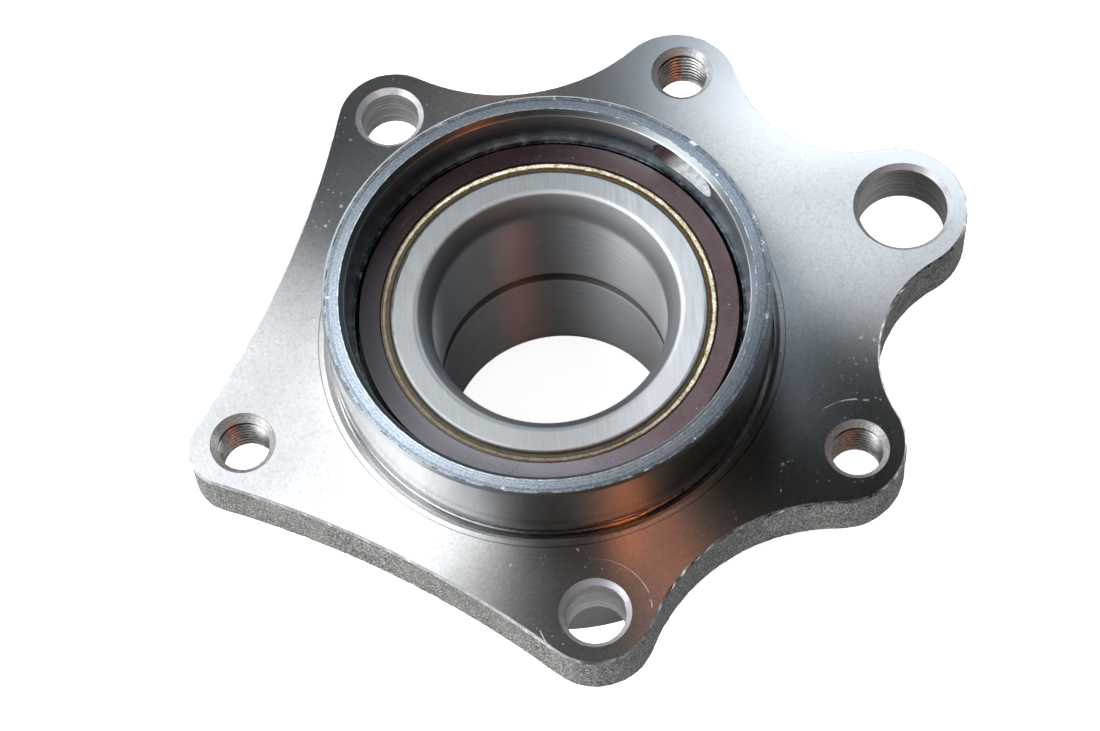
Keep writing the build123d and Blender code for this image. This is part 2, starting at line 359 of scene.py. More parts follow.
def turned_face():
    """The flange's machined face: concentric tool marks, stains, dust, scratches and washer rub,
    with a painted highlight toward one ear, painted shade toward another, and a thin painted dark
    reflection round the relief's outer slope.
    """
    f = Finish("turned_face", (0.60, 0.61, 0.62), 0.4)
    lines = f.rings(2200, 0.0003)
    broad = f.noise(35, 4, 0.6)
    fine = f.noise(1300, 2, 0.5)
    tint = f.mix(f.remap(broad, 0.35, 0.7), (0.61, 0.62, 0.63), (0.54, 0.55, 0.56))
    tint = f.mix(f.remap(lines, 0.35, 0.75, 0.0, 0.3), tint, (0.74, 0.75, 0.76))
    tint = f.mix(f.remap(fine, 0.35, 0.7, 0.0, 0.35), tint, (0.38, 0.39, 0.4))
    grime = f.noise(420, 6, 0.8)
    tint = f.mix(f.remap(grime, 0.5, 0.64, 0.0, 0.16), tint, (0.2, 0.2, 0.19))
    # Painted highlight: the face is lightened toward one ear
    painted_highlight = f.toward(HIGHLIGHTED_EAR, 48 * MM, 70 * MM, 0.0, 0.75)
    tint = f.mix(painted_highlight, tint, (0.86, 0.9, 0.94))
    # Painted shade: the face is darkened toward another ear
    painted_shade = f.toward(SHADED_EAR, 52 * MM, 70 * MM, 0.0, 0.6)
    tint = f.mix(painted_shade, tint, (0.24, 0.24, 0.24))
    marks = f.larger(f.strokes(420, 0.05, 0.2), f.strokes(1300, 0.14, 0.22))
    for degrees, scale, share in ((20, 260, 0.02), (75, 210, 0.03), (130, 300, 0.02)):
        marks = f.larger(marks, f.strokes(scale, share, 0.035, degrees, 14.0))
    for place, reach, share in WASHER_RUBS:
        away = f.vector("DISTANCE", f.place, place)
        ring = f.remap(f.gap(away, reach), 0.05 * MM, 0.16 * MM, 1.0, 0.0)
        worn = f.remap(f.noise(110, 3, 0.6), share, share + 0.05)
        marks = f.larger(marks, f.times(ring, worn))
    tint = f.mix(marks, tint, (0.9, 0.92, 0.95))
    # Painted reflection: a thin dark ring on the relief's outer slope, standing in for the dark wall
    # mirrored there
    dark_ring = f.remap(f.gap(f.radius(), DARK_RING_R), 0.06 * MM, 0.16 * MM, 0.75, 0.0)
    f.color(f.mix(dark_ring, tint, (0.1, 0.1, 0.1)))
    smooth = f.remap(broad, 0.3, 0.7, 0.35, 0.4)
    f.roughness(f.plus(smooth, f.times(marks, 0.25)))
    f.stretch(1.0, f.across_turning())
    f.bump(lines, 0.004 * MM)
    f.bump(marks, 0.02 * MM)
    return f.material


def forged_side():
    """Rough grey scale of the forging's sides, speckled and pitted."""
    f = Finish("forged_side", (0.3, 0.3, 0.3), 0.6, metallic=0.25)
    grain = f.noise(2700, 3, 0.8)
    patches = f.noise(170, 4, 0.6)
    pits = f.speckle(1300)
    tint = f.mix(f.remap(patches, 0.3, 0.7), (0.055, 0.058, 0.05), (0.13, 0.135, 0.12))
    tint = f.mix(f.remap(grain, 0.52, 0.6), tint, (0.37, 0.39, 0.38))
    tint = f.mix(f.remap(grain, 0.4, 0.47, 1.0, 0.0), tint, (0.012, 0.012, 0.01))
    f.color(f.mix(f.remap(pits, 0.0, 0.3), (0.03, 0.03, 0.03), tint))
    f.roughness(f.remap(grain, 0.3, 0.7, 0.5, 0.8))
    f.bump(grain, 0.1 * MM)
    f.bump(patches, 0.3 * MM)
    f.bump(f.remap(pits, 0.0, 0.4), 0.08 * MM)
    return f.material


def broken_edge():
    """Bright, nicked edge where a machined face meets a rough or bored one."""
    f = Finish("broken_edge", (0.75, 0.76, 0.78), 0.25)
    wear = f.noise(500, 4, 0.6)
    f.color(f.mix(f.remap(wear, 0.35, 0.65), (0.45, 0.46, 0.48), (0.86, 0.87, 0.9)))
    f.roughness(f.remap(wear, 0.3, 0.7, 0.4, 0.2))
    f.bump(wear, 0.06 * MM)
    return f.material


def bored_edge():
    """Countersinks of the plain holes: grey and evenly turned."""
    f = Finish("bored_edge", (0.5, 0.51, 0.53), 0.4, metallic=0.8)
    stain = f.noise(420, 3, 0.6)
    lines = f.layers(3000)
    tint = f.mix(f.remap(stain, 0.45, 0.75), (0.6, 0.61, 0.64), (0.4, 0.41, 0.43))
    f.color(f.mix(f.remap(lines, 0.55, 0.7, 0.0, 0.6), tint, (0.22, 0.23, 0.24)))
    f.roughness(f.remap(stain, 0.3, 0.7, 0.34, 0.44))
    f.bump(lines, 0.004 * MM)
    return f.material


def tapped_edge():
    """Countersinks over the threads: lined, and mottled by the tap."""
    f = Finish("tapped_edge", (0.5, 0.5, 0.5), 0.36, metallic=0.85)
    lines = f.layers(2600)
    stain = f.noise(2400, 4, 0.75)
    tint = f.mix(f.remap(stain, 0.42, 0.62), (0.66, 0.67, 0.69), (0.36, 0.36, 0.36))
    f.color(f.mix(f.remap(lines, 0.5, 0.65, 0.0, 0.5), tint, (0.16, 0.16, 0.15)))
    f.bump(stain, 0.03 * MM)
    return f.material


def milled_window():
    """The sensor window's walls: pale milled steel, with painted dark-brown shade and reflection at
    one end.
    """
    f = Finish("milled_window", (0.7, 0.72, 0.75), 0.4, metallic=0.8)
    grain = f.noise(900, 4, 0.7)
    tint = f.mix(f.remap(grain, 0.4, 0.65), (0.76, 0.78, 0.8), (0.5, 0.51, 0.52))
    # Painted shade and reflection: the walls darken to brown toward one end
    window_end_shade = f.toward(polar(1, WINDOW_DEGREES + 90), 1.5 * MM, 6.5 * MM, 0.0, 0.9)
    f.color(f.mix(window_end_shade, tint, (0.1, 0.06, 0.045)))
    f.bump(grain, 0.02 * MM)
    return f.material


def collar_edge():
    """The collar's chamfers: turned steel, lined round, with a painted highlight along the recess's
    edge.
    """
    f = Finish("collar_edge", (0.5, 0.54, 0.56), 0.3)
    lines = f.rings(2600)
    reach = f.radius()
    tint = f.mix(f.remap(lines, 0.35, 0.65), (0.22, 0.25, 0.26), (0.32, 0.36, 0.38))
    tint = f.mix(f.remap(reach, RIM_INNER_R, RIM_OUTER_R), tint, (0.36, 0.38, 0.4))
    # Painted highlight: a thin bright line along the recess's edge
    worn = f.remap(reach, RECESS_R + 0.08 * MM, RECESS_R + 0.2 * MM, 1.0, 0.0)
    f.color(f.mix(worn, tint, (0.85, 0.87, 0.9)))
    f.stretch(0.5, f.across_turning())
    f.bump(lines, 0.003 * MM)
    return f.material


def collar_wall():
    """The collar's ground outside and the relief at its foot: smooth, with faint level lines."""
    f = Finish("collar_wall", (0.62, 0.63, 0.65), 0.12)
    lines = f.layers(2500)
    f.roughness(f.remap(lines, 0.3, 0.7, 0.1, 0.17))
    f.color(f.mix(f.remap(lines, 0.35, 0.7), (0.46, 0.47, 0.475), (0.62, 0.63, 0.64)))
    f.stretch(0.4, f.across_turning())
    f.bump(lines, 0.0004 * MM)
    return f.material


def rim_top():
    """The collar's end face: dull blue-grey, peppered with marks and small nicks, with a painted
    highlight along its inner edge and painted shade toward one side.
    """
    f = Finish("rim_top", (0.40, 0.45, 0.52), 0.45)
    grain = f.plus(f.times(f.noise(3200, 3, 0.8), 0.45), f.times(f.rings(1500), 0.55))
    broad = f.noise(240, 3, 0.6)
    tint = f.mix(f.remap(grain, 0.4, 0.6), (0.17, 0.21, 0.25), (0.55, 0.63, 0.72))
    tint = f.mix(f.remap(broad, 0.45, 0.75, 0.0, 0.3), tint, (0.3, 0.36, 0.42))
    from_outer = f.minus(RIM_OUTER_R, f.radius())
    from_inner = f.minus(f.radius(), RIM_INNER_R)
    near_edge = f.remap(from_outer, 0.25 * MM, 0.5 * MM, 1.0, 0.0)
    streak = f.times(near_edge, f.remap(f.noise(260, 4, 0.7), 0.46, 0.56, 0.0, 0.8))
    tint = f.mix(streak, tint, (0.05, 0.06, 0.07))
    marks = f.strokes(520, 0.12, 0.2)
    for degrees, scale, share in ((-75, 230, 0.08), (-55, 290, 0.06), (30, 260, 0.03)):
        marks = f.larger(marks, f.strokes(scale, share, 0.06, degrees, 9.0))
    # Painted highlight: a thin broken bright line along the inner edge, added in with the marks
    inner = f.remap(from_inner, 0.05 * MM, 0.3 * MM, 1.0, 0.0)
    edges = f.times(inner, f.remap(f.noise(700, 3, 0.7), 0.45, 0.6, 0.0, 1.0))
    marks = f.larger(marks, edges)
    outer = f.remap(from_outer, 0.3 * MM, 1.1 * MM, 1.0, 0.0)
    nicks = f.times(outer, f.remap(f.noise(330, 3, 0.65), 0.62, 0.66))
    marks = f.larger(marks, nicks)
    # Painted shade: the end face darkens toward one side
    painted_shade = f.toward(SHADED_RIM_SIDE, 5 * MM, 44 * MM, 0.0, 0.35)
    tint = f.mix(painted_shade, tint, (0.1, 0.12, 0.15))
    f.color(f.mix(marks, tint, (0.9, 0.94, 1.0)))
    f.stretch(0.6, f.across_turning())
    f.roughness(f.remap(grain, 0.3, 0.7, 0.34, 0.5))
    f.bump(grain, 0.02 * MM)
    f.bump(marks, 0.02 * MM)
    return f.material


def recess_wall():
    """The inside of the collar: dark turned steel."""
    f = Finish("recess_wall", (0.5, 0.55, 0.58), 0.33)
    lines = f.layers(1800)
    f.color(f.mix(f.remap(lines, 0.3, 0.75), (0.44, 0.49, 0.52), (0.56, 0.62, 0.66)))
    f.bump(lines, 0.003 * MM)
    return f.material


def oiled_and_shaded_seat():
    """The seal's seat and the step over it, dark with oil and with painted shade deep in the gap by
    the seal.
    """
    # Painted shade: the whole seat is dark, as the gap beside the seal is
    f = Finish("oiled_and_shaded_seat", (0.06, 0.065, 0.07), 0.4, metallic=0.5)
    film = f.noise(500, 3, 0.6)
    f.color(f.mix(f.remap(film, 0.35, 0.7), (0.04, 0.045, 0.05), (0.1, 0.11, 0.125)))
    f.roughness(f.remap(film, 0.3, 0.7, 0.3, 0.5))
    return f.material


def drilled_wall():
    """A hole's wall: level drill rings, bright and dark."""
    f = Finish("drilled_wall", (0.6, 0.6, 0.6), 0.3)
    lines = f.layers(900, 3)
    f.color(f.mix(f.remap(lines, 0.35, 0.65), (0.4, 0.4, 0.4), (0.72, 0.72, 0.72)))
    f.roughness(f.remap(lines, 0.3, 0.7, 0.42, 0.22))
    f.bump(lines, 0.06 * MM)
    return f.material


def thread_crest():
    """Cut threads where they catch the light."""
    f = Finish("thread_crest", (0.85, 0.85, 0.84), 0.3)
    wear = f.noise(900, 3, 0.6)
    f.color(f.mix(f.remap(wear, 0.4, 0.65), (0.92, 0.92, 0.9), (0.6, 0.6, 0.58)))
    f.bump(wear, 0.02 * MM)
    return f.material


def thread_root():
    """Cut threads down in their roots and on their flanks, dark with oil and with painted shade
    between the lit crests.
    """
    f = Finish("thread_root", (0.05, 0.05, 0.05), 0.35, metallic=0.8)
    film = f.noise(600, 3, 0.6)
    f.color(f.mix(f.remap(film, 0.35, 0.65), (0.03, 0.029, 0.028), (0.09, 0.09, 0.09)))
    f.roughness(f.remap(film, 0.3, 0.7, 0.25, 0.45))
    return f.material


def turned_body():
    """The barrel, the flange's underside and the seats inside: plain turned steel."""
    f = Finish("turned_body", (0.45, 0.46, 0.47), 0.36)
    lines = f.rings(1900, 0.0002)
    levels = f.layers(1900)
    marks = f.plus(lines, levels)
    f.color(f.mix(f.remap(marks, 0.7, 1.3), (0.4, 0.41, 0.42), (0.5, 0.51, 0.52)))
    f.stretch(0.6, f.across_turning())
    f.bump(marks, 0.004 * MM)
    return f.material


def inner_ring_steel():
    """Ground inner ring: straight fine lines on the end face, with painted shade toward one side of
    it and a painted highlight toward the other, a dark mouth graded by painted shade, satin bore,
    oily joint.
    """
    f = Finish("inner_ring_steel", (0.63, 0.64, 0.65), 0.4)
    sideways = polar(1, STUDIO_TURN)
    lengthwise = polar(1, STUDIO_TURN + 90)
    z = f.split()[2]
    height = f.minus(z, FACE_Z)
    on_face = f.remap(height, -0.25 * MM, -0.05 * MM)
    in_mouth = f.times(f.remap(height, -0.3 * MM, -0.06 * MM, 1.0, 0.0),
                       f.remap(height, -NOSE_LENGTH - 1 * MM, -NOSE_LENGTH + 2 * MM))
    in_bore = f.remap(height, -NOSE_LENGTH - 1 * MM, -NOSE_LENGTH + 1 * MM, 1.0, 0.0)
    in_joint = f.remap(f.gap(z, JOINT_Z), JOINT_CHAMFER * 0.9, JOINT_CHAMFER, 1.0, 0.0)
    across = f.combine(f.along(sideways), f.times(f.along(lengthwise), 0.04))
    ground = f.noise(2600, 3, 0.6, across)
    levels = f.layers(1400)
    lines = f.plus(f.times(ground, on_face), f.times(levels, f.minus(1.0, on_face)))
    cloud = f.noise(70, 4, 0.6)
    speck = f.speckle(700)
    tint = f.mix(f.remap(cloud, 0.3, 0.7), (0.46, 0.485, 0.505), (0.54, 0.56, 0.58))
    tint = f.mix(f.remap(lines, 0.35, 0.7), tint, (0.61, 0.63, 0.65))
    tint = f.mix(f.remap(speck, 0.0, 0.12), (0.3, 0.3, 0.3), tint)
    # Painted shade darkens the end face toward one side, and a painted highlight lightens it toward
    # the other
    film = f.toward(sideways, -5 * MM, 29 * MM, 0.55, 0.0)
    tint = f.mix(f.times(film, on_face), tint, (0.2, 0.21, 0.21))
    painted_highlight = f.toward(sideways, 5 * MM, 29 * MM, 0.0, 0.4)
    tint = f.mix(f.times(painted_highlight, on_face), tint, (0.92, 0.94, 0.98))
    shade = f.toward(sideways + lengthwise * 0.5, -10 * MM, 20 * MM, 0.88, 0.68)
    tint = f.mix(f.times(in_mouth, shade), tint, (0.1, 0.105, 0.11))
    f.color(f.mix(f.times(in_joint, 0.85), tint, (0.05, 0.045, 0.04)))
    satin = f.plus(f.times(in_bore, 0.08), f.times(in_mouth, 0.2))
    f.roughness(f.plus(f.remap(lines, 0.3, 0.7, 0.36, 0.44), satin))
    fixed = f.add("ShaderNodeVectorTransform", vector_type="VECTOR",
                  convert_from="OBJECT", convert_to="WORLD")
    f.feed(fixed.inputs[0], sideways)
    pick = f.add("ShaderNodeMix", data_type="VECTOR")
    f.feed(pick.inputs["Factor"], on_face)
    f.feed(pick.inputs[VECTOR_A], f.across_turning())
    f.feed(pick.inputs[VECTOR_B], fixed.outputs[0])
    f.stretch(f.remap(in_bore, 0.0, 1.0, 0.7, 0.95), pick.outputs[VECTOR_OUT])
    f.bump(lines, 0.003 * MM)
    return f.material


def encoder_rubber():
    """Magnetised rubber: dark maroon with fine dust, with painted shade darkening one side and a
    painted bluish sheen on another.
    """
    f = Finish("encoder_rubber", (0.09, 0.05, 0.055), 0.5, metallic=0.0)
    cloud = f.noise(150, 4, 0.65)
    dust = f.strokes(800, 0.12, 0.16)
    fine = f.noise(2600, 3, 0.7)
    tint = f.mix(f.remap(cloud, 0.2, 0.8), (0.015, 0.005, 0.007), (0.024, 0.01, 0.013))
    tint = f.mix(f.remap(fine, 0.5, 0.65, 0.0, 0.45), tint, (0.1, 0.07, 0.08))
    tint = f.mix(f.times(dust, 0.7), tint, (0.3, 0.26, 0.28))
    # Painted shade: the rubber goes nearly black toward one side, where the collar's wall shades it
    rubber_shade = f.toward(SHADED_RUBBER_SIDE, -5 * MM, 32 * MM)
    tint = f.mix(f.times(f.minus(1.0, rubber_shade), 0.2), tint, (0.14, 0.1, 0.11))
    # Painted reflection: a bluish sheen toward another side
    rubber_sheen = f.toward(SHEEN_ON_RUBBER, 5 * MM, 36 * MM, 0.0, 0.5)
    tint = f.mix(rubber_sheen, tint, (0.17, 0.18, 0.22))
    f.color(f.mix(f.times(rubber_shade, 0.7), tint, (0.004, 0.003, 0.004)))
    f.roughness(f.remap(cloud, 0.2, 0.8, 0.26, 0.36))
    f.feed(f.shader.inputs["Specular IOR Level"], f.remap(rubber_shade, 0.0, 1.0, 1.0, 0.25))
    f.bump(fine, 0.006 * MM)
    return f.material


def passivated_steel():
    """Yellow passivated sheet, pitted, with a painted highlight along its fold's crest, painted
    brown shade toward both edges of the fold, and painted shade toward one side.
    """
    f = Finish("passivated_steel", (0.74, 0.62, 0.38), 0.3, metallic=0.8)
    mottle = f.noise(700, 4, 0.7)
    grime = f.noise(420, 5, 0.75)
    # Painted highlight and shade: bright along the fold's crest, dark brown toward both its edges,
    # the edge of the dark wavering with noise
    off_crest = f.gap(f.radius(), FOLD_CREST_R)
    rim = f.plus(off_crest, f.times(f.minus(grime, 0.5), 0.9 * MM))
    # Painted shade: the sheet darkens toward one side and its dark edges widen there
    fold_shade = f.toward(polar(1, 45 + STUDIO_TURN), -25 * MM, 20 * MM, 0.85, 0.0)
    rim = f.plus(rim, f.times(fold_shade, 0.14 * MM))
    tint = f.mix(f.remap(mottle, 0.4, 0.6), (0.9, 0.8, 0.55), (1.0, 0.98, 0.85))
    tint = f.mix(f.remap(rim, 0.26 * MM, 0.46 * MM), tint, (0.1, 0.065, 0.03))
    tint = f.mix(fold_shade, tint, (0.085, 0.07, 0.05))
    specks = f.remap(f.noise(2400, 3, 0.7), 0.56, 0.62)
    f.color(f.mix(f.times(specks, 0.8), tint, (0.07, 0.05, 0.03)))
    f.roughness(f.remap(mottle, 0.3, 0.7, 0.25, 0.5))
    f.bump(mottle, 0.03 * MM)
    return f.material


def pressed_steel():
    """The seal case: bluish cold-rolled sheet."""
    f = Finish("pressed_steel", (0.35, 0.42, 0.48), 0.35)
    mottle = f.noise(500, 4, 0.65)
    f.color(f.mix(f.remap(mottle, 0.45, 0.8), (0.05, 0.06, 0.075), (0.32, 0.4, 0.47)))
    f.roughness(f.remap(mottle, 0.3, 0.7, 0.25, 0.5))
    f.bump(mottle, 0.03 * MM)
    return f.material


def seal_rubber():
    """Black nitrile rubber with a faint moulded grain."""
    f = Finish("seal_rubber", (0.02, 0.02, 0.02), 0.55, metallic=0.0)
    grain = f.noise(900, 4, 0.6)
    f.color(f.mix(f.remap(grain, 0.3, 0.7), (0.014, 0.014, 0.014), (0.035, 0.034, 0.033)))
    f.bump(grain, 0.02 * MM)
    return f.material


def ball_steel():
    """Polished bearing balls with a light film of grease."""
    f = Finish("ball_steel", (0.75, 0.76, 0.77), 0.06)
    film = f.noise(300, 3, 0.5)
    f.roughness(f.remap(film, 0.35, 0.7, 0.04, 0.2))
    f.color(f.mix(f.remap(film, 0.4, 0.75), (0.77, 0.78, 0.79), (0.62, 0.6, 0.55)))
    return f.material


def cage_polymer():
    """Glass-filled polyamide cage: warm cream with fibre flecks."""
    f = Finish("cage_polymer", (0.6, 0.52, 0.38), 0.5, metallic=0.0)
    flecks = f.noise(1100, 4, 0.7)
    f.color(f.mix(f.remap(flecks, 0.4, 0.7), (0.52, 0.44, 0.31), (0.66, 0.59, 0.46)))
    f.roughness(f.remap(flecks, 0.3, 0.7, 0.4, 0.6))
    f.bump(flecks, 0.01 * MM)
    return f.material


OUTER_RING_FINISHES = [turned_body, turned_face, forged_side, broken_edge, bored_edge, tapped_edge,
                       collar_edge, collar_wall, rim_top, recess_wall, milled_window, oiled_and_shaded_seat,
                       drilled_wall]
REGIONS = [finish.__name__ for finish in OUTER_RING_FINISHES]


def region_of(centre, normal):
    """Which finish a face of the outer ring takes, from its place and direction."""
    reach = math.hypot(centre.x, centre.y)
    height = centre.z
    upward = normal.z
    flatness = abs(upward)
    for place, radius, sink in HOLES:
        from_axis = math.hypot(centre.x - place.x, centre.y - place.y)
        if from_axis < radius + sink + HOLE_MARGIN and flatness < LEVEL:
            if flatness < UPRIGHT:
                return "drilled_wall"
            return "tapped_edge" if radius == THREAD_R else "bored_edge"
    if reach > FLANGE_CORE_R:
        if flatness < UPRIGHT:
            return "forged_side"
        if flatness < LEVEL:
            return "broken_edge"
        return "turned_face" if upward > 0 else "turned_body"
    outward = abs(normal.x * centre.x + normal.y * centre.y) / reach
    in_collar = WINDOW_BOTTOM < height < RIM_TOP - WALL_MARGIN and reach > RECESS_R - WALL_MARGIN
    if in_collar and outward < WINDOW_OUTWARD:
        return "milled_window"
    if height > RIM_TOP - RIM_CHAMFERS and flatness > UPRIGHT:
        return "rim_top" if upward > LEVEL else "collar_edge"
    collar_outside = height > RELIEF_BOTTOM and COLLAR_R - COLLAR_MARGIN < reach < RELIEF_R
    if collar_outside and height < -FACE_MARGIN:
        return "turned_face" if STEEP < upward < GENTLE else "collar_wall"
    if collar_outside and upward < GENTLE:
        return "collar_wall"
    if height > SEAT_TOP and flatness < STEEP:
        return "recess_wall"
    if height > SEAT_BOTTOM and reach < COLLAR_R - SEAT_MARGIN:
        return "oiled_and_shaded_seat"
    if height > RELIEF_BOTTOM and reach > COLLAR_R:
        return "turned_face"
    return "turned_body"


def roughen(point, outward):
    """The forging's lumps and grain, as a shift inward along the wall's normal."""
    lumps = noise.fractal(point * LUMP_SCALE, 0.7, 2.1, 4) * LUMP_HEIGHT
    grain = noise.fractal(point * GRAIN_SCALE, 0.6, 2.0, 3) * GRAIN_HEIGHT
    return outward * min(0.0, lumps + grain - FORGED_SUNK)


def wear_down(point, outward):
    """The worn edge over a forged side, as a shift inward along the edge's normal."""
    return outward * min(0.0, noise.noise(point * WEAR_SCALE) * WEAR_HEIGHT - WEAR_SUNK)


def keep_built_normals(mesh, reworked):
    """Gives untouched faces the construction's own normals; a zero normal is worked out anew."""
    built = mesh.attributes["built_normal"].data
    normals = []
    for polygon in mesh.polygons:
        touched = polygon.material_index in reworked
        for corner in polygon.loop_indices:
            normals.append(Vector() if touched else Vector(built[corner].vector).normalized())
    mesh.attributes.remove(mesh.attributes["built_normal"])
    mesh.normals_split_custom_set(normals)


def finished_mesh(name, shape, materials):
    """Makes the shape a mesh with the given finishes."""
    mesh = bpy.data.meshes.new(name)
    shape.to_mesh(mesh)
    shape.free()
    for material in materials:
        mesh.materials.append(material)
    return mesh


def shown(name, content):
    """Puts a mesh, a light or a camera into the scene as an object."""
    piece = bpy.data.objects.new(name, content)
    bpy.context.scene.collection.objects.link(piece)
    return piece


def divide_sides(shape, side, edge):
    """Cuts the forged sides into faces fine enough to be lumpy."""
    for _ in range(MOST_CUTS):
        long_edges = [e for e in shape.edges if e.calc_length() > FORGED_EDGE
                      and any(f.material_index == side for f in e.link_faces)]
        if not long_edges:
            return
        bmesh.ops.subdivide_edges(shape, edges=long_edges, cuts=1, use_grid_fill=True)
        uneven = [f for f in shape.faces if len(f.verts) > 3 and f.material_index in (side, edge)]
        bmesh.ops.triangulate(shape, faces=uneven)


def outer_ring(finishes):
    """The outer ring with its forged sides lumpy and its edges worn."""
    source = NODES["flanged_outer_ring"]
    mesh = source.data.copy()
    normals = [value for corner in mesh.corner_normals for value in corner.vector]
    mesh.attributes.new("built_normal", "FLOAT_VECTOR", "CORNER").data.foreach_set("vector", normals)
    if "custom_normal" in mesh.attributes:
        mesh.attributes.remove(mesh.attributes["custom_normal"])
    shape = bmesh.new()
    shape.from_mesh(mesh)
    bmesh.ops.remove_doubles(shape, verts=shape.verts, dist=WELD)
    shape.normal_update()
    for face in shape.faces:
        face.material_index = REGIONS.index(region_of(face.calc_center_median(), face.normal))
    side = REGIONS.index("forged_side")
    worn_edge = REGIONS.index("broken_edge")
    divide_sides(shape, side, worn_edge)
    shape.normal_update()
    for vertex in shape.verts:
        kinds = {f.material_index for f in vertex.link_faces}
        if kinds == {side}:
            vertex.co += roughen(vertex.co, vertex.normal)
        elif kinds == {side, worn_edge}:
            vertex.co += wear_down(vertex.co, vertex.normal)
    for face in shape.faces:
        face.smooth = True
    for edge in shape.edges:
        kinds = {f.material_index for f in edge.link_faces}
        edge.smooth = len(kinds) == 1 and edge.calc_face_angle(0) < SHARP_FORGING
    mesh.materials.clear()
    for name in REGIONS:
        mesh.materials.append(finishes[name])
    shape.to_mesh(mesh)
    shape.free()
    keep_built_normals(mesh, (side, worn_edge))
    piece = shown("outer_ring_forging", mesh)
    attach(piece, "housing")
    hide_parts("flanged_outer_ring")


def cut_piece(name, shape, place, materials):
    """Smooths a shape up to its sharp corners and fixes it to the housing at its place."""
    bmesh.ops.recalc_face_normals(shape, faces=shape.faces)
    mesh = finished_mesh(name, shape, materials)
    mesh.transform(Matrix.Translation(place))
    for polygon in mesh.polygons:
        polygon.use_smooth = True
    mesh.set_sharp_from_angle(angle=SHARP_CUT)
    piece = shown(name, mesh)
    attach(piece, "housing")


def join_rows(shape, row, following):
    """Joins two closed rows of points with faces, and gives those faces."""
    after = row[1:] + row[:1]
    following_after = following[1:] + following[:1]
    return [shape.faces.new(corners) for corners in zip(row, after, following_after, following)]


def helix(name, place, radius, sink, lead, pitch, ridge, crest_and_root):
    """A thread or a drill's marks in a hole, as one helical ridge seated in the wall."""
    top = lead - sink
    bottom = FLANGE_BOTTOM + sink - lead
    turns = (top - bottom) / pitch - 1
    shape = bmesh.new()
    previous = None
    for step in range(int(turns * STEPS_PER_TURN) + 1):
        turn = step / STEPS_PER_TURN
        fade = max(min(1.0, RUN_OUT * turn, RUN_OUT * (turns - turn)), LEAST_RIDGE)
        height = top - pitch * (turn + 0.5)
        row = []
        for past, rise in ridge:
            reach = radius + (past if past > 0 else past * fade) * MM
            level = Vector((0, 0, height + rise * pitch))
            row.append(shape.verts.new(polar(reach, 360 * turn) + level))
        if previous:
            faces = join_rows(shape, previous, row)
            # Painted shade: the upper flank's outer part, the lower flank and the root take the dark
            # second finish
            for face in (faces[0], *faces[-2:]):
                face.material_index = 1
        else:
            shape.faces.new(row)
        previous = row
    shape.faces.new(list(reversed(previous)))
    cut_piece(name, shape, place, crest_and_root)


def thread_mouth(name, place, radius, sink, finish):
    """Carries the countersinks on at both ends of a tapped hole down to the thread's crests."""
    section = [
        (radius + MOUTH_BURIED, sink - MOUTH_BURIED),
        (radius - MOUTH_REACH, sink + MOUTH_REACH),
        (radius - MOUTH_REACH, sink + MOUTH_REACH + MOUTH_EDGE),
        (radius + MOUTH_BURIED, sink + MOUTH_BACK),
    ]
    shape = bmesh.new()
    for end, into in ((0.0, -1.0), (FLANGE_BOTTOM, 1.0)):
        rows = []
        for step in range(MOUTH_STEPS):
            points = [polar(reach, 360 * step / MOUTH_STEPS) + Vector((0, 0, end + into * depth))
                      for reach, depth in section]
            rows.append([shape.verts.new(point) for point in points])
        for row, following in zip(rows, rows[1:] + rows[:1]):
            join_rows(shape, row, following)
    cut_piece(name, shape, place, [finish])


# The studio. Directions are counted as the camera sees them: 0 to its right, 90 away from it.
CAMERA_PLACE = Vector((-0.081748, -0.300883, 0.607148))
CAMERA_TURN = (26.4639, 2.8130, -20.6446)
CAMERA_LENS = 106.533
SENSOR_WIDTH = 36.0
STUDIO_TURN = -15.2
TENT_R = 1.1
TENT_AROUND = 32
TENT_UP = 10
FLOOR_WIDTH = 6.0
CARD_SOFT_FROM = 0.55


def studio_place(direction, elevation, distance):
    """A point round the bearing, from the direction as the camera sees it."""
    up = math.radians(elevation)
    level = polar(distance * math.cos(up), direction + STUDIO_TURN)
    return level + Vector((0, 0, distance * math.sin(up)))


def aim(obj, place):
    """Moves an object to its place, facing the bearing with its -Z."""
    obj.location = place
    obj.rotation_mode = "QUATERNION"
    obj.rotation_quaternion = (-place).to_track_quat("-Z", "Y")


def lamp(name, direction, elevation, distance, size, power, color=WHITE):
    """A soft square lamp that gives light and shadows but isn't mirrored."""
    light = bpy.data.lights.new(name, "AREA")
    light.size = size
    light.energy = power
    light.color = color
    obj = shown(name, light)
    aim(obj, studio_place(direction, elevation, distance))
    obj.visible_glossy = False


def for_metal_only(piece):
    """Leaves a studio piece to the metal's reflections alone."""
    piece.visible_camera = False
    piece.visible_diffuse = False
    piece.visible_shadow = False
    piece.visible_transmission = False


def sheet(name, width, height, level, material):
    """A flat rectangle that faces up."""
    shape = bmesh.new()
    corners = [(-0.5, -0.5), (0.5, -0.5), (0.5, 0.5), (-0.5, 0.5)]
    shape.faces.new([shape.verts.new((x * width, y * height, level)) for x, y in corners])
    return shown(name, finished_mesh(name, shape, [material]))


